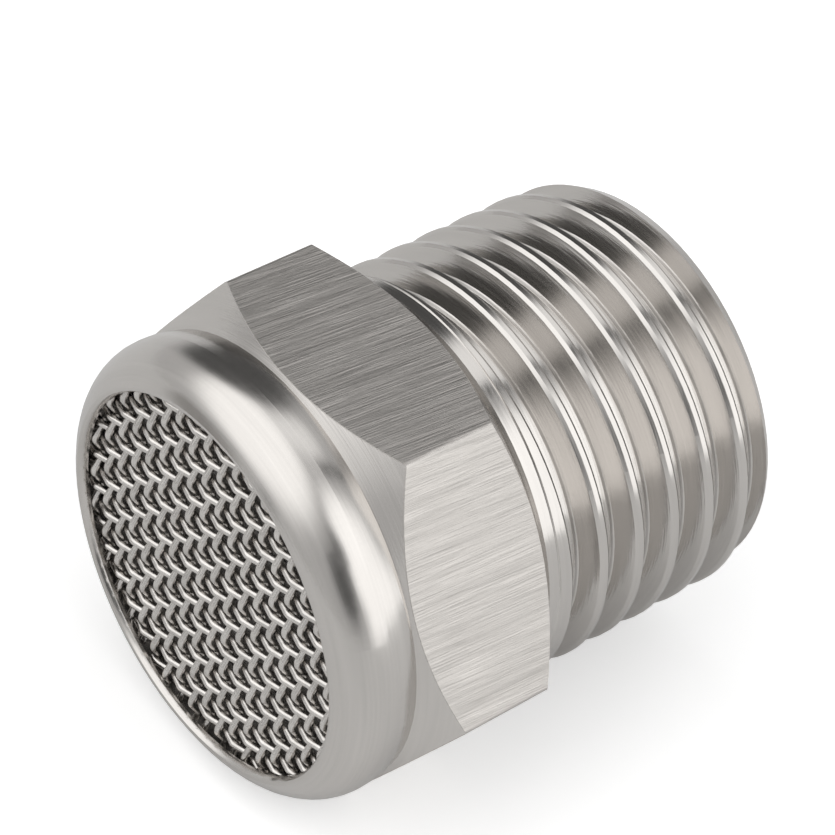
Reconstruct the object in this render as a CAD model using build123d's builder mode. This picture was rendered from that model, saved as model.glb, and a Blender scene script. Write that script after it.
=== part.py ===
"""Pneumatic muffler with a hexagonal stainless body and a G 1/4 male thread.

Frame: millimetres, the thread axis is Y. The screened outlet faces -Y and the
threaded inlet faces +Y. The origin is on the axis, in the plane of the seating
face at the back of the hexagon. One pair of hexagon flats faces up and down (Z).
"""

import os
from math import asin, atan2, ceil, cos, degrees, floor, hypot, radians, sin, sqrt, tan

from build123d import *

os.makedirs("parts", exist_ok=True)

# Hexagon, chamfered at both ends, and the seating face
ACROSS_FLATS = 14.0
CORNER_ROUND = 0.15
FRONT_CORNER_PLACE = -3.69
FRONT_CHAMFER_SLOPE = 0.74
SEATING_FACE_RADIUS = 6.95
SEATING_FACE_INNER_RADIUS = 6.60
BACK_CHAMFER_SLOPE = 0.70

# Shank: G 1/4 (ISO 228) male thread, 19 turns to the inch
THREAD_MAJOR = 12.91
THREAD_MINOR = 11.445
THREAD_PITCH = 1.337
THREAD_HALF_ANGLE = 27.5
CREST_FLAT = 0.26
CREST_BREAK = 0.08
ROOT_BREAK = 0.09
SHANK_LENGTH = 9.1
TIP_CHAMFER_LENGTH = 0.65
TIP_CHAMFER_DEPTH = 0.33
RELIEF_WIDTH = 0.48
RELIEF_DEPTH = 0.20
RELIEF_UNDERCUT = 0.12
SCRIBE_PLACE = 0.87
SCRIBE_DEPTH = 0.035

# Where the helical groove comes to full depth, and how it runs out towards the hexagon
GROOVE_START_ANGLE = 215.0
GROOVE_START_PLACE = 1.155
GROOVE_HALF_TURNS = 13
RUN_OUT_TURNS = 0.25
RUN_OUT_RISE = 0.90

# Inside of the body
BORE_RADIUS = 4.1
BORE_MOUTH_CHAMFER = 0.35
CHAMBER_RADIUS = 5.6
CHAMBER_STEP = -2.70
SEAT_RADIUS = 6.15
SEAT_PLACE = -5.855

# Rolled lip that holds the screens in
CREASE_RADIUS = 6.88
LIP_OUTER_RADIUS = 7.00
LIP_WIDEST = -5.395
LIP_CREST_RADIUS = 6.00
LIP_FRONT = -6.865
LIP_CREST_ROUND = 0.12
LIP_OPENING_RADIUS = 5.85
LIP_OPENING_PLACE = -6.665
LIP_UNDERSIDE = -6.575

# Woven screens: about 40 openings to the inch
WIRE = 0.22
MESH_PITCH = 0.65
CROSSING_GAP = 0.02
WEFT_CRIMP = 0.08
OUTLET_SCREEN_RADIUS = 6.10
OUTLET_SCREEN_TURN = 3.4
OUTLET_SCREEN_SHIFT_ALONG = 0.13
OUTLET_SCREEN_SHIFT_BESIDE = 0.35
SUPPORT_SCREEN_RADIUS = 5.55
SUPPORT_SCREEN_TURN = 45.0

# Fine cloth and damping pad
CLEARANCE = 0.02
CLOTH_RADIUS = 6.11
PAD_RADIUS = 5.56

CORNER_RADIUS = ACROSS_FLATS / sqrt(3)
CREST_RADIUS = THREAD_MAJOR / 2
ROOT_RADIUS = THREAD_MINOR / 2
THREAD_DEPTH = CREST_RADIUS - ROOT_RADIUS
BEND_RADIUS = WIRE + CROSSING_GAP
WARP_CRIMP = BEND_RADIUS - WEFT_CRIMP
SCREEN_HALF = max(WEFT_CRIMP, WARP_CRIMP) + WIRE / 2
SHORTEST_EDGE = 0.005

OUTLET_SCREEN_PLACE = LIP_UNDERSIDE + CLEARANCE + SCREEN_HALF
CLOTH_FRONT = OUTLET_SCREEN_PLACE + SCREEN_HALF + CLEARANCE
CLOTH_BACK = SEAT_PLACE - CLEARANCE
SUPPORT_SCREEN_PLACE = CHAMBER_STEP - CLEARANCE - SCREEN_HALF
PAD_FRONT = CLOTH_BACK + CLEARANCE
PAD_BACK = SUPPORT_SCREEN_PLACE - SCREEN_HALF - CLEARANCE


def front_cone(radius):
    """Place along Y of the front chamfer cone at a radius."""
    return FRONT_CORNER_PLACE - FRONT_CHAMFER_SLOPE * (CORNER_RADIUS - radius)


def back_cone(radius):
    """Place along Y of the chamfer cone round the seating face at a radius."""
    return -BACK_CHAMFER_SLOPE * (radius - SEATING_FACE_RADIUS)


def groove_cutter(along, turns, cone_angle):
    """The thread groove as a swept solid, a little taller than the thread is deep.

    It starts where the groove comes to full depth, and winds towards the tip where along is 1 and
    towards the hexagon where along is -1.
    """
    slope = tan(radians(THREAD_HALF_ANGLE))
    above = 0.2
    mouth = (THREAD_PITCH - CREST_FLAT) / 2
    bottom = mouth - THREAD_DEPTH * slope
    low = ROOT_BREAK
    high = THREAD_DEPTH - CREST_BREAK
    top = bottom + high * slope + (CREST_BREAK + above) * 1.2
    with BuildPart() as cutter:
        with BuildLine() as path:
            # a conical helix takes its pitch along the slope of the cone
            Helix(
                THREAD_PITCH / cos(radians(cone_angle)),
                turns * THREAD_PITCH,
                ROOT_RADIUS,
                direction=(0, along, 0),
                cone_angle=cone_angle,
            )
        start = path.wire() @ 0
        outward = start.normalized()
        with BuildSketch(Plane(origin=start, x_dir=outward, z_dir=outward.cross(Vector(0, 1, 0)))):
            with BuildLine():
                Polyline(
                    (THREAD_DEPTH + above, -top),
                    (high, -(bottom + high * slope)),
                    (low, -(bottom + low * slope)),
                    (0, -(bottom - low * slope)),
                    (0, bottom - low * slope),
                    (low, bottom + low * slope),
                    (high, bottom + high * slope),
                    (THREAD_DEPTH + above, top),
                    close=True,
                )
            make_face()
        sweep(path=path.wire(), is_frenet=True)
    start_angle = degrees(atan2(start.Z, start.X))
    turned = cutter.part.rotate(Axis.Y, start_angle - GROOVE_START_ANGLE)
    return turned.translate((0, GROOVE_START_PLACE, 0))


def body_shell():
    """Hexagon, front chamfer, rolled lip and shank as one turned and milled solid, bored through."""
    relief_radius = CREST_RADIUS - RELIEF_DEPTH
    with BuildPart() as shell:
        # hexagonal bar, longer than the hexagon that is left after turning
        with BuildSketch(Plane.XZ):
            RegularPolygon(CORNER_RADIUS, 6)
            fillet(vertices(), CORNER_ROUND)
        extrude(amount=-LIP_FRONT)
        # turned outline of everything in front of the seating face, which the relief cuts a little into
        outside = CORNER_RADIUS + 0.3
        with BuildSketch(Plane.XY):
            with BuildLine():
                Polyline(
                    (0, LIP_FRONT),
                    (0, -RELIEF_UNDERCUT),
                    (relief_radius, -RELIEF_UNDERCUT),
                    (SEATING_FACE_INNER_RADIUS, 0),
                    (SEATING_FACE_RADIUS, 0),
                    (outside, back_cone(outside)),
                    (outside, front_cone(outside)),
                    (CREASE_RADIUS, front_cone(CREASE_RADIUS)),
                )
                TangentArc(
                    (LIP_OUTER_RADIUS, LIP_WIDEST),
                    (CREASE_RADIUS, front_cone(CREASE_RADIUS)),
                    tangent=(0, 1),
                )
                dome = TangentArc(
                    (LIP_OUTER_RADIUS, LIP_WIDEST),
                    (LIP_CREST_RADIUS, LIP_FRONT),
                    tangent=(0, -1),
                )
                Line(dome @ 1, (0, LIP_FRONT))
            make_face()
        revolve(axis=Axis.Y, mode=Mode.INTERSECT)
        # shank with a relief behind the hexagon and a chamfered tip
        with BuildSketch(Plane.XY):
            with BuildLine():
                Polyline(
                    (0, -1),
                    (relief_radius, -1),
                    (relief_radius, RELIEF_WIDTH - RELIEF_DEPTH),
                    (CREST_RADIUS, RELIEF_WIDTH),
                    (CREST_RADIUS, SCRIBE_PLACE - SCRIBE_DEPTH),
                    (CREST_RADIUS - SCRIBE_DEPTH, SCRIBE_PLACE),
                    (CREST_RADIUS, SCRIBE_PLACE + SCRIBE_DEPTH),
                    (CREST_RADIUS, SHANK_LENGTH - TIP_CHAMFER_LENGTH),
                    (CREST_RADIUS - TIP_CHAMFER_DEPTH, SHANK_LENGTH),
                    (0, SHANK_LENGTH),
                    close=True,
                )
            make_face()
        revolve(axis=Axis.Y)
        # inlet bore, pad chamber, screen seat and the underside of the lip
        mouth = BORE_RADIUS + BORE_MOUTH_CHAMFER
        with BuildSketch(Plane.XY):
            with BuildLine():
                Polyline(
                    (0, SHANK_LENGTH + 1),
                    (mouth, SHANK_LENGTH + 1),
                    (mouth, SHANK_LENGTH),
                    (BORE_RADIUS, SHANK_LENGTH - BORE_MOUTH_CHAMFER),
                    (BORE_RADIUS, CHAMBER_STEP),
                    (CHAMBER_RADIUS, CHAMBER_STEP),
                    (CHAMBER_RADIUS, SEAT_PLACE),
                    (SEAT_RADIUS, SEAT_PLACE),
                    (SEAT_RADIUS, LIP_UNDERSIDE),
                    (LIP_OPENING_RADIUS, LIP_UNDERSIDE),
                    (LIP_OPENING_RADIUS, LIP_OPENING_PLACE),
                )
                edge = TangentArc(
                    (LIP_OPENING_RADIUS, LIP_OPENING_PLACE),
                    (LIP_CREST_RADIUS, LIP_FRONT),
                    tangent=(0, -1),
                )
                Polyline(
                    edge @ 1,
                    (LIP_CREST_RADIUS, LIP_FRONT - 1),
                    (0, LIP_FRONT - 1),
                    (0, SHANK_LENGTH + 1),
                )
            make_face()
        revolve(axis=Axis.Y, mode=Mode.SUBTRACT)
        # the lip is rounded where its outside and its opening meet
        foremost = shell.edges().filter_by(GeomType.CIRCLE).sort_by(Axis.Y)[0]
        fillet(foremost, LIP_CREST_ROUND)
    return shell.part


def wire_route(plane, start, end, crimp):
    """Crimped centre line of one screen wire from start to end along the plane's x.

    It bends in an arc round every wire it crosses, with straight legs between, and is crimp away
    from the plane's x at crossing number j, at j * MESH_PITCH, on the +y side where j is even.
    """
    drop = 2 * (BEND_RADIUS - crimp)
    leg = asin(2 * BEND_RADIUS / hypot(MESH_PITCH, drop)) - atan2(drop, MESH_PITCH)
    reach = BEND_RADIUS * sin(leg)

    def on_bend(crossing, angle):
        side = 1 if crossing % 2 == 0 else -1
        along = crossing * MESH_PITCH + BEND_RADIUS * sin(angle)
        return (along, side * (crimp - BEND_RADIUS * (1 - cos(angle))))

    def on_leg(crossing, along):
        before = on_bend(crossing, leg)
        after = on_bend(crossing + 1, -leg)
        share = (along - before[0]) / (after[0] - before[0])
        return (along, before[1] + share * (after[1] - before[1]))

    with BuildLine(plane) as route:
        for crossing in range(floor(start / MESH_PITCH) - 1, ceil(end / MESH_PITCH) + 1):
            middle = crossing * MESH_PITCH
            first = max(start, middle - reach)
            last = min(end, middle + reach)
            if last - first > SHORTEST_EDGE:
                opening = asin((first - middle) / BEND_RADIUS)
                closing = asin((last - middle) / BEND_RADIUS)
                ThreePointArc(
                    on_bend(crossing, opening),
                    on_bend(crossing, (opening + closing) / 2),
                    on_bend(crossing, closing),
                )
            first = max(start, middle + reach)
            last = min(end, middle + MESH_PITCH - reach)
            if last - first > SHORTEST_EDGE:
                Line(on_leg(crossing, first), on_leg(crossing, last))
    return route.wire()


def screen_wire(plane, start, end, crimp):
    """One round wire of a screen."""
    route = wire_route(plane, start, end, crimp)
    with BuildPart() as wire:
        with BuildSketch(Plane(origin=route @ 0, z_dir=route % 0)):
            Circle(WIRE / 2)
        sweep(path=route)
    return wire.part


def screen_wires(place, turn, radius, weft, shift):
    """Every wire of one direction of a round plain-weave screen that lies across the axis at a place.

    shift is how far the middle crossing is off the axis, along the weft and beside it.
    """
    angle = radians(turn if weft else turn + 90)
    along = Vector(cos(angle), 0, sin(angle))
    beside = Vector(-sin(angle), 0, cos(angle))
    shift_along, shift_beside = shift if weft else (shift[1], -shift[0])
    crimp = WEFT_CRIMP if weft else WARP_CRIMP
    count = ceil(radius / MESH_PITCH)
    wires = []
    for number in range(-count, count + 1):
        offset = number * MESH_PITCH + shift_beside
        if abs(offset) > radius - MESH_PITCH / 3:
            continue
        half_length = sqrt(radius**2 - offset**2)
        # neighbouring wires, and the two directions, go over and under in turn
        in_front = (number % 2 == 0) != weft
        outward = Vector(0, -1 if in_front else 1, 0)
        origin = along * shift_along + beside * offset + Vector(0, place, 0)
        plane = Plane(origin=origin, x_dir=along, z_dir=along.cross(outward))
        start = -half_length - shift_along
        wires.append(screen_wire(plane, start, half_length - shift_along, crimp))
    return wires


def export_wires(name, place, turn, radius, weft, shift=(0, 0)):
    """Write one direction of a screen as a node of separate wires."""
    with BuildPart() as wires:
        add(screen_wires(place, turn, radius, weft, shift))
    wires.part.label = name
    export_step(wires.part, f"parts/{name}.step")


# Body: one piece, with the thread groove cut half a turn at a time and run out behind its start
half_turn = groove_cutter(1, 0.5, 0)
groove = []
for number in range(GROOVE_HALF_TURNS):
    advance = number * THREAD_PITCH / 2
    groove.append(half_turn.rotate(Axis.Y, 180 * number).translate((0, advance, 0)))
run_out_angle = degrees(atan2(RUN_OUT_RISE, RUN_OUT_TURNS * THREAD_PITCH))
with BuildPart() as body:
    add(body_shell())
    add(groove, mode=Mode.SUBTRACT, clean=False)
    add(groove_cutter(-1, RUN_OUT_TURNS, run_out_angle), mode=Mode.SUBTRACT, clean=False)
body.part.label = "body"
export_step(body.part, "parts/body.step")

# Outlet screen, the one that shows in the open end
outlet = (OUTLET_SCREEN_PLACE, OUTLET_SCREEN_TURN, OUTLET_SCREEN_RADIUS)
outlet_shift = (OUTLET_SCREEN_SHIFT_ALONG, OUTLET_SCREEN_SHIFT_BESIDE)
export_wires("outlet_screen_weft", *outlet, True, outlet_shift)
export_wires("outlet_screen_warp", *outlet, False, outlet_shift)

# Fine filter cloth behind the outlet screen, on the seat
with BuildPart() as filter_cloth:
    with BuildSketch(Plane.XZ.offset(-CLOTH_BACK)):
        Circle(CLOTH_RADIUS)
    extrude(amount=CLOTH_BACK - CLOTH_FRONT)
filter_cloth.part.label = "filter_cloth"
export_step(filter_cloth.part, "parts/filter_cloth.step")

# Damping pad of compressed wire, filling the chamber between the cloth and the support screen
with BuildPart() as damping_pad:
    with BuildSketch(Plane.XZ.offset(-PAD_BACK)):
        Circle(PAD_RADIUS)
    extrude(amount=PAD_BACK - PAD_FRONT)
damping_pad.part.label = "damping_pad"
export_step(damping_pad.part, "parts/damping_pad.step")

# Support screen at the inlet end of the chamber
support = (SUPPORT_SCREEN_PLACE, SUPPORT_SCREEN_TURN, SUPPORT_SCREEN_RADIUS)
export_wires("support_screen_weft", *support, True)
export_wires("support_screen_warp", *support, False)
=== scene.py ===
"""Pneumatic muffler: finishes, floor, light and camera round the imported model.

Metres, with the thread axis along Y.
"""
import math

import bpy
from mathutils import Matrix, Vector


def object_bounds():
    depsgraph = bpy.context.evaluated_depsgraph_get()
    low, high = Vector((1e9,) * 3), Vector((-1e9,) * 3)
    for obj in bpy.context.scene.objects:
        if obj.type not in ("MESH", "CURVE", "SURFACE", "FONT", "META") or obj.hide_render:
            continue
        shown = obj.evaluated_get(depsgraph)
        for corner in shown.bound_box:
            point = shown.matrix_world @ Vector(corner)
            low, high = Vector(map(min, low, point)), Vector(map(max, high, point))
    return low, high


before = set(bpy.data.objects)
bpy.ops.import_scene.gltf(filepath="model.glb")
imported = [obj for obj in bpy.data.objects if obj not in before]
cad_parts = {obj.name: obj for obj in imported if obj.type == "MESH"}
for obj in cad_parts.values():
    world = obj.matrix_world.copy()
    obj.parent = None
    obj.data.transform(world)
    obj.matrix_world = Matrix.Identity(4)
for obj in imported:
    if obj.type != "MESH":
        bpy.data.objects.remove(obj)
cad_low, cad_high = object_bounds()

# Camera, as the photograph was taken
VIEW_AZIMUTH = math.radians(44.55)
VIEW_ELEVATION = math.radians(45.5)
VIEW_ROLL = math.radians(10.23)
VIEW_DISTANCE = 0.0943
VIEW_AIM = Vector((-0.0007, 0.0012, 0.0019))
LENS = 141.3

# Body, in millimetres: where its finishes begin and end
FLAT_DEPTH = 6.984
FLATS_FRONT = -4.53
FLATS_BACK = -0.02
LIP_BACK = -4.55
LIP_FINISH_FULL = -4.85
THREAD_FRONT = 0.9
CREST_EDGE_RADIUS = 6.36
ROOT_CORNER_INNER_RADIUS = 5.725
ROOT_CORNER_OUTER_RADIUS = 5.79
CLOTH_PERIOD = 0.40

# Bump depth of each finish, in metres
BODY_BUMP = 0.000012
WIRE_BUMP = 0.000003
CLOTH_BUMP = 0.00003
PAD_BUMP = 0.00006

# How far the outlet screen is turned from the flats
SCREEN_TURN = math.radians(3.4)

# Floor and card, in metres
FLOOR_HALF = 0.6
FLAG_START = math.radians(-157)
FLAG_END = math.radians(-131)
FLAG_DISTANCE = 0.10
FLAG_TOP = 0.012

# Azimuth of the light tent's seam from +X towards -Y
SEAM_AZIMUTH = math.radians(12)


class Nodes:
    """Adds linked nodes to one material or world."""

    def __init__(self, tree):
        self.tree = tree
        tree.nodes.clear()

    def add(self, kind, inputs=(), **settings):
        node = self.tree.nodes.new("ShaderNode" + kind)
        for name, value in settings.items():
            setattr(node, name, value)
        for key, value in dict(inputs).items():
            if isinstance(value, bpy.types.NodeSocket):
                self.tree.links.new(value, node.inputs[key])
            else:
                node.inputs[key].default_value = value
        return node

    def math(self, operation, *values):
        node = self.add("Math", enumerate(values), operation=operation)
        return node.outputs[0]

    def vector(self, operation, *values):
        node = self.add("VectorMath", enumerate(values), operation=operation)
        return node.outputs["Value" if operation == "DOT_PRODUCT" else "Vector"]

    def combine(self, x, y, z):
        return self.add("CombineXYZ", {"X": x, "Y": y, "Z": z}).outputs[0]

    def above(self, value, low, high, out_low=0.0, out_high=1.0):
        """Rises smoothly from out_low to out_high as value goes from low to high."""
        node = self.add(
            "MapRange",
            {0: value, 1: low, 2: high, 3: out_low, 4: out_high},
            interpolation_type="SMOOTHSTEP",
        )
        return node.outputs[0]

    def scale(self, value, low, high, out_low, out_high):
        """Straight-line map of value from low-high to out_low-out_high."""
        return self.add("MapRange", {0: value, 1: low, 2: high, 3: out_low, 4: out_high}).outputs[0]

    def noise(self, vector, detail=2.0, roughness=0.5, fourth=None):
        inputs = {"Vector": vector, "Scale": 1.0, "Detail": detail, "Roughness": roughness}
        if fourth is None:
            return self.add("TexNoise", inputs).outputs[0]
        inputs["W"] = fourth
        return self.add("TexNoise", inputs, noise_dimensions="4D").outputs[0]

    def blend(self, a, share_a, b, share_b):
        """Sum of a and b, each times its share."""
        return self.math("ADD", self.math("MULTIPLY", a, share_a), self.math("MULTIPLY", b, share_b))

    def mix(self, factor, a, b):
        """Number a where factor is 0, b where it is 1."""
        return self.add("Mix", {0: factor, 2: a, 3: b}).outputs[0]

    def mix_colour(self, factor, a, b):
        return self.add("Mix", {0: factor, 6: a, 7: b}, data_type="RGBA").outputs[2]

    def facing_inlet(self):
        """How far the surface faces +Y, from -1 to 1."""
        normal = self.add("TexCoord").outputs["Normal"]
        return self.add("SeparateXYZ", {0: normal}).outputs[1]

    def millimetres(self):
        """The surface point in the row frame, in millimetres, as (vector, x, y, z)."""
        point = self.add("TexCoord").outputs["Object"]
        point = self.vector("MULTIPLY", point, (1000.0, 1000.0, 1000.0))
        parts = self.add("SeparateXYZ", {0: point}).outputs
        return point, parts[0], parts[1], parts[2]


def metal(name, make):
    """A metal whose colour, roughness, height, bump depth and fixed settings come from make(nodes)."""
    material = bpy.data.materials.new(name)
    material.use_nodes = True
    nodes = Nodes(material.node_tree)
    colour, roughness, height, depth, fixed = make(nodes)
    bump = nodes.add("Bump", {"Height": height, "Distance": depth, "Strength": 1.0})
    inputs = {"Base Color": colour, "Metallic": 1.0, "Roughness": roughness, "Normal": bump.outputs[0]}
    inputs.update(fixed)
    shader = nodes.add("BsdfPrincipled", inputs)
    nodes.add("OutputMaterial", {0: shader.outputs[0]})
    return material


def body_finish(n):
    """Brushed hexagon flats, turned cone and shank, burnished lip."""
    point, x, y, z = n.millimetres()
    radius = n.math("SQRT", n.math("ADD", n.math("MULTIPLY", x, x), n.math("MULTIPLY", z, z)))
    angle = n.math("ARCTAN2", z, x)
    # which flat faces this way, and the place across it
    sector = n.math("FLOOR", n.math("DIVIDE", angle, math.radians(60)))
    middle = n.math("MULTIPLY", n.math("ADD", sector, 0.5), math.radians(60))
    turn = n.math("SUBTRACT", angle, middle)
    across = n.math("MULTIPLY", radius, n.math("SINE", turn))
    depth_in = n.math("MULTIPLY", radius, n.math("COSINE", turn))
    on_flat = n.math("GREATER_THAN", depth_in, FLAT_DEPTH)
    on_flat = n.math("MULTIPLY", on_flat, n.math("GREATER_THAN", y, FLATS_FRONT))
    on_flat = n.math("MULTIPLY", on_flat, n.math("LESS_THAN", y, FLATS_BACK))
    on_lip = n.above(y, LIP_BACK, LIP_FINISH_FULL)

    # brushing, nearly along the axis, a little askew on each flat
    wander = n.math("SINE", n.math("MULTIPLY", sector, 2.3))
    askew = n.math("ADD", 0.07, n.math("MULTIPLY", 0.03, wander))
    streak = n.math("ADD", across, n.math("MULTIPLY", askew, y))
    lane = n.math("MULTIPLY", sector, 5.7)
    narrow = n.combine(n.math("MULTIPLY", streak, 21.0), n.math("MULTIPLY", y, 0.55), lane)
    fine = n.noise(narrow, 3.0, 0.6)
    wide = n.combine(n.math("MULTIPLY", streak, 4.5), n.math("MULTIPLY", y, 0.2), lane)
    broad = n.noise(wide, 2.0, 0.5)
    pits = n.noise(n.vector("MULTIPLY", point, (9.0, 5.0, 9.0)), 3.0, 0.6)

    # turning marks, round the axis
    round_x = n.math("MULTIPLY", n.math("COSINE", angle), 1.3)
    round_z = n.math("MULTIPLY", n.math("SINE", angle), 1.3)
    slow = n.combine(n.math("MULTIPLY", radius, 16.0), n.math("MULTIPLY", y, 16.0), round_x)
    turned = n.noise(slow, 3.0, 0.6, round_z)
    quick = n.combine(n.math("MULTIPLY", radius, 4.0), n.math("MULTIPLY", y, 4.0), round_x)
    waves = n.noise(quick, 2.0, 0.5, round_z)

    # height in units of the bump depth
    brushed_height = n.math("ADD", fine, n.math("MULTIPLY", broad, 0.8))
    turned_height = n.math("ADD", turned, n.math("MULTIPLY", waves, 0.6))
    turned_height = n.math("MULTIPLY", turned_height, n.mix(on_lip, 0.35, 0.10))
    height = n.mix(on_flat, turned_height, brushed_height)

    brushed_rough = n.blend(fine, 0.6, pits, 0.4)
    brushed_rough = n.scale(brushed_rough, 0.3, 0.7, 0.31, 0.43)
    turned_rough = n.scale(turned, 0.3, 0.7, 0.13, 0.21)
    lip_rough = n.scale(n.blend(waves, 0.5, pits, 0.5), 0.3, 0.7, 0.18, 0.25)
    rough = n.mix(on_flat, n.mix(on_lip, turned_rough, lip_rough), brushed_rough)

    # colour, with streaks that fade in places
    cloud = n.noise(n.vector("MULTIPLY", point, (0.55, 0.4, 0.55)), 2.0, 0.5)
    faded = n.above(cloud, 0.35, 0.65, 0.45, 1.1)
    streaks = n.blend(fine, 0.6, broad, 0.4)
    streaks = n.math("MULTIPLY", n.math("SUBTRACT", streaks, 0.5), faded)
    tone = n.scale(streaks, -0.16, 0.16, 0.0, 1.0)
    brushed_colour = n.mix_colour(tone, (0.45, 0.430, 0.407, 1), (0.71, 0.679, 0.646, 1))
    turned_tone = n.scale(n.blend(turned, 0.5, waves, 0.5), 0.3, 0.7, 0.0, 1.0)
    turned_colour = n.mix_colour(turned_tone, (0.59, 0.567, 0.542, 1), (0.665, 0.640, 0.612, 1))
    colour = n.mix_colour(on_flat, turned_colour, brushed_colour)

    # painted shade: dark lines painted on the inlet side of every crest's edge, tip included, and in
    # the corners at the root, standing in for dark reflections and shade
    on_thread = n.above(y, THREAD_FRONT, THREAD_FRONT + 0.1)
    on_crest = n.above(radius, CREST_EDGE_RADIUS, CREST_EDGE_RADIUS + 0.015)
    painted_crest_shade = n.math("MULTIPLY", on_crest, n.above(n.facing_inlet(), 0.2, 0.4))
    off_root = n.above(radius, ROOT_CORNER_INNER_RADIUS, ROOT_CORNER_INNER_RADIUS + 0.01)
    off_flank = n.above(radius, ROOT_CORNER_OUTER_RADIUS, ROOT_CORNER_OUTER_RADIUS - 0.02)
    painted_root_shade = n.math("MULTIPLY", n.math("MULTIPLY", off_root, off_flank), 0.5)
    painted_shade = n.math("MULTIPLY", on_thread, n.math("MAXIMUM", painted_crest_shade, painted_root_shade))
    # the painted shade darkens the thread's colour towards a near-black grey
    colour = n.mix_colour(n.math("MULTIPLY", painted_shade, 0.8), colour, (0.10, 0.095, 0.09, 1))
    return colour, rough, height, BODY_BUMP, {"Anisotropic": 0.0}


def wire_finish(turn):
    """Drawn wire that runs at an angle across the axis, with fine lines along it."""

    def make(n):
        point, x, y, z = n.millimetres()
        along = n.blend(x, math.cos(turn), z, math.sin(turn))
        beside = n.blend(z, math.cos(turn), x, -math.sin(turn))
        long_grain = n.math("MULTIPLY", along, 1.6)
        cross_grain = n.math("MULTIPLY", beside, 30.0)
        depth_grain = n.math("MULTIPLY", y, 30.0)
        drawn = n.noise(n.combine(long_grain, cross_grain, depth_grain), 2.0, 0.6)
        stain = n.noise(n.vector("MULTIPLY", point, (1.1, 1.1, 1.1)), 3.0, 0.6)
        tone = n.scale(stain, 0.35, 0.65, 0.0, 1.0)
        colour = n.mix_colour(tone, (0.60, 0.577, 0.551, 1), (0.74, 0.713, 0.683, 1))
        rough = n.scale(n.blend(drawn, 0.7, stain, 0.3), 0.3, 0.7, 0.20, 0.32)
        return colour, rough, drawn, WIRE_BUMP, {}

    return make


def cloth_finish(n):
    """Fine plain-weave cloth, a wire every half period, with painted shade between them."""
    point, x, _, z = n.millimetres()
    rate = 2 * math.pi / CLOTH_PERIOD
    phase_x = n.math("MULTIPLY", x, rate)
    phase_z = n.math("MULTIPLY", z, rate)
    rib_x = n.math("ABSOLUTE", n.math("SINE", phase_x))
    rib_z = n.math("ABSOLUTE", n.math("SINE", phase_z))
    over = n.math("MULTIPLY", n.math("COSINE", phase_x), n.math("COSINE", phase_z))
    weave = n.blend(n.math("MAXIMUM", rib_x, rib_z), 0.7, over, 0.3)
    stain = n.noise(n.vector("MULTIPLY", point, (1.4, 1.4, 1.4)), 3.0, 0.6)
    # painted shade: the colour goes near black in the gaps between the wires
    tone = n.math("MULTIPLY", weave, n.scale(stain, 0.3, 0.7, 0.6, 1.0))
    colour = n.mix_colour(tone, (0.02, 0.019, 0.018, 1), (0.32, 0.31, 0.30, 1))
    rough = n.scale(stain, 0.3, 0.7, 0.35, 0.5)
    return colour, rough, weave, CLOTH_BUMP, {}


def pad_finish(n):
    """Compressed wire wool: a matted tangle of fine bright wire."""
    point = n.millimetres()[0]
    bent = n.noise(n.vector("MULTIPLY", point, (2.0, 2.0, 2.0)), 3.0, 0.6)
    cells = n.add("TexVoronoi", {"Vector": point, "Scale": 5.0}, feature="DISTANCE_TO_EDGE")
    strands = n.math("SINE", n.blend(bent, 60.0, cells.outputs[0], 25.0))
    tone = n.scale(strands, -1.0, 1.0, 0.0, 1.0)
    colour = n.mix_colour(tone, (0.22, 0.214, 0.205, 1), (0.66, 0.647, 0.63, 1))
    rough = n.scale(bent, 0.3, 0.7, 0.30, 0.45)
    return colour, rough, tone, PAD_BUMP, {}


def paint(node, material):
    """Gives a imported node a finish, in every slot it has."""
    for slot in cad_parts[node].material_slots:
        slot.material = material


paint("body", metal("stainless_body", body_finish))
paint("outlet_screen_weft", metal("wire_across", wire_finish(SCREEN_TURN)))
paint("outlet_screen_warp", metal("wire_upright", wire_finish(SCREEN_TURN + math.pi / 2)))
paint("support_screen_weft", metal("support_wire_across", wire_finish(math.pi / 4)))
paint("support_screen_warp", metal("support_wire_upright", wire_finish(3 * math.pi / 4)))
paint("filter_cloth", metal("filter_cloth", cloth_finish))
paint("damping_pad", metal("wire_wool", pad_finish))


def make_floor():
    """A wide pale sheet under the part, over-lit to the camera and grey in reflections."""
    half = FLOOR_HALF
    level = cad_low.z
    mesh = bpy.data.meshes.new("floor")
    mesh.from_pydata(
        [(-half, -half, level), (half, -half, level), (half, half, level), (-half, half, level)],
        [],
        [(0, 1, 2, 3)],
    )
    floor = bpy.data.objects.new("floor", mesh)
    bpy.context.scene.collection.objects.link(floor)
    material = bpy.data.materials.new("pale_floor")
    material.use_nodes = True
    n = Nodes(material.node_tree)
    lit = n.add("BsdfDiffuse", {"Color": (0.93, 0.93, 0.93, 1)})
    glow = n.add("Emission", {"Color": (1, 1, 1, 1), "Strength": 0.36})
    pale = n.add("AddShader", {0: lit.outputs[0], 1: glow.outputs[0]})
    dull = n.add("BsdfDiffuse", {"Color": (0.72, 0.72, 0.72, 1)})
    seen = n.add("LightPath").outputs["Is Camera Ray"]
    both = n.add("MixShader", {0: seen, 1: dull.outputs[0], 2: pale.outputs[0]})
    n.add("OutputMaterial", {0: both.outputs[0]})
    mesh.materials.append(material)


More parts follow.
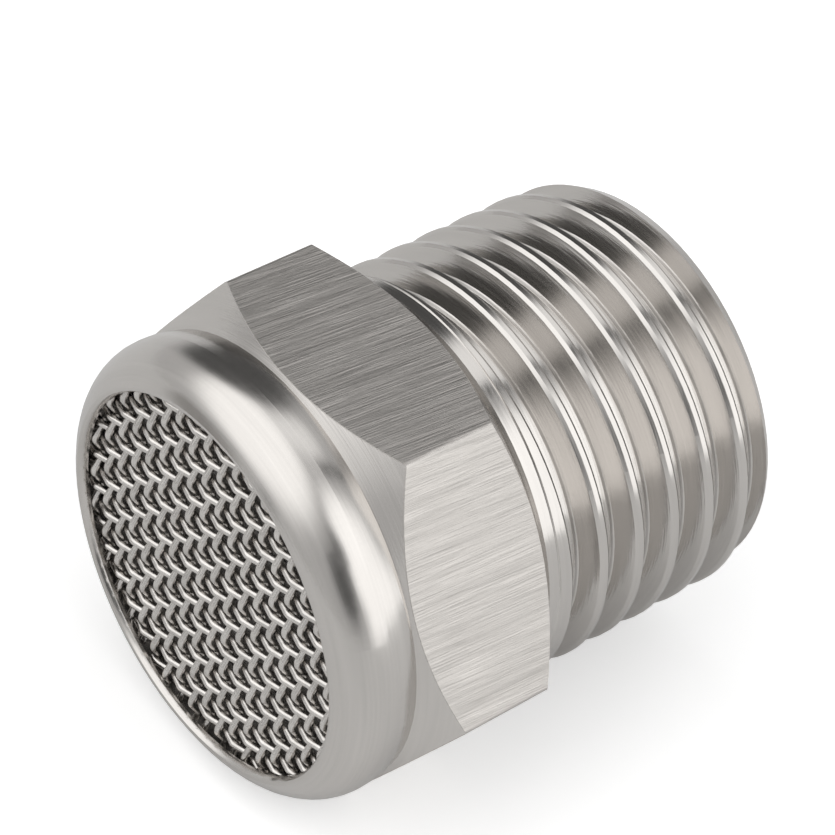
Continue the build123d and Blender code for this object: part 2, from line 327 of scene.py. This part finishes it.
def make_flag():
    """A low dark card on the floor to one side, which only the metal sees."""
    corners = []
    for angle in (FLAG_START, FLAG_END):
        x, y = math.sin(angle) * FLAG_DISTANCE, math.cos(angle) * FLAG_DISTANCE
        corners += [(x, y, cad_low.z), (x, y, FLAG_TOP)]
    mesh = bpy.data.meshes.new("flag")
    mesh.from_pydata(corners, [], [(0, 2, 3, 1)])
    flag = bpy.data.objects.new("flag", mesh)
    bpy.context.scene.collection.objects.link(flag)
    material = bpy.data.materials.new("black_card")
    material.use_nodes = True
    n = Nodes(material.node_tree)
    card = n.add("BsdfDiffuse", {"Color": (0.32, 0.31, 0.30, 1)})
    n.add("OutputMaterial", {0: card.outputs[0]})
    mesh.materials.append(material)
    flag.visible_camera = False
    flag.visible_diffuse = False


def make_world():
    """Studio surround: mid grey with soft panels and dark gaps, and plain white to the camera."""
    world = bpy.data.worlds.new("studio")
    bpy.context.scene.world = world
    world.use_nodes = True
    n = Nodes(world.node_tree)
    direction = n.add("TexCoord").outputs["Generated"]

    def lobe(azimuth, elevation, inner, outer):
        """1 within inner degrees of a direction, 0 past outer. Azimuth 0 is +Y, 90 is +X."""
        a, e = math.radians(azimuth), math.radians(elevation)
        toward = (math.sin(a) * math.cos(e), math.cos(a) * math.cos(e), math.sin(e))
        near = n.vector("DOT_PRODUCT", direction, toward)
        return n.above(near, math.cos(math.radians(outer)), math.cos(math.radians(inner)))

    level = 0.55
    # azimuth, elevation, inner and outer degrees, brightness
    panels = [
        (-168, 30, 14, 28, 0.90),
        (-148, 55, 28, 48, 1.45),
        (70, 38, 20, 36, 1.55),
        (64, 4, 20, 36, 1.50),
        (-18, 62, 9, 20, 1.15),
        (-62, 31, 21, 32, 0.09),
        (121, 24, 9, 22, 0.10),
        (110, 42, 4, 15, 0.14),
    ]
    for azimuth, elevation, inner, outer, brightness in panels:
        level = n.mix(lobe(azimuth, elevation, inner, outer), level, brightness)
    # the seam of the light tent, a thin dark line low in front and up behind
    across_seam = (math.cos(SEAM_AZIMUTH), -math.sin(SEAM_AZIMUTH), 0)
    off_seam = n.math("ABSOLUTE", n.vector("DOT_PRODUCT", direction, across_seam))
    forward = n.add("SeparateXYZ", {0: direction}).outputs[1]
    ends = n.math("MAXIMUM", n.above(forward, 0.40, 0.50), n.above(forward, -0.96, -0.985))
    in_seam = n.math("MULTIPLY", n.above(off_seam, 0.075, 0.025), ends)
    level = n.mix(in_seam, level, 0.08)
    grey = n.combine(level, level, level)
    around = n.add("Background", {"Color": grey, "Strength": 1.0})
    beyond = n.add("Background", {"Color": (1, 1, 1, 1), "Strength": 1.0})
    seen = n.add("LightPath").outputs["Is Camera Ray"]
    both = n.add("MixShader", {0: seen, 1: around.outputs[0], 2: beyond.outputs[0]})
    n.add("OutputWorld", {0: both.outputs[0]})


def make_camera():
    forward = Vector(
        (
            -math.sin(VIEW_AZIMUTH) * math.cos(VIEW_ELEVATION),
            math.cos(VIEW_AZIMUTH) * math.cos(VIEW_ELEVATION),
            -math.sin(VIEW_ELEVATION),
        )
    )
    level_right = Vector((math.cos(VIEW_AZIMUTH), math.sin(VIEW_AZIMUTH), 0))
    level_up = level_right.cross(forward)
    right = level_right * math.cos(VIEW_ROLL) + level_up * math.sin(VIEW_ROLL)
    up = level_up * math.cos(VIEW_ROLL) - level_right * math.sin(VIEW_ROLL)
    camera = bpy.data.cameras.new("camera")
    camera.lens = LENS
    camera.sensor_width = 36.0
    camera.clip_start = 0.005
    camera.clip_end = 10.0
    holder = bpy.data.objects.new("camera", camera)
    axes = Matrix((right, up, -forward)).transposed().to_4x4()
    holder.matrix_world = Matrix.Translation(VIEW_AIM - forward * VIEW_DISTANCE) @ axes
    bpy.context.scene.collection.objects.link(holder)
    bpy.context.scene.camera = holder


make_floor()
make_flag()
make_world()
make_camera()
bpy.context.scene.view_settings.view_transform = "Standard"
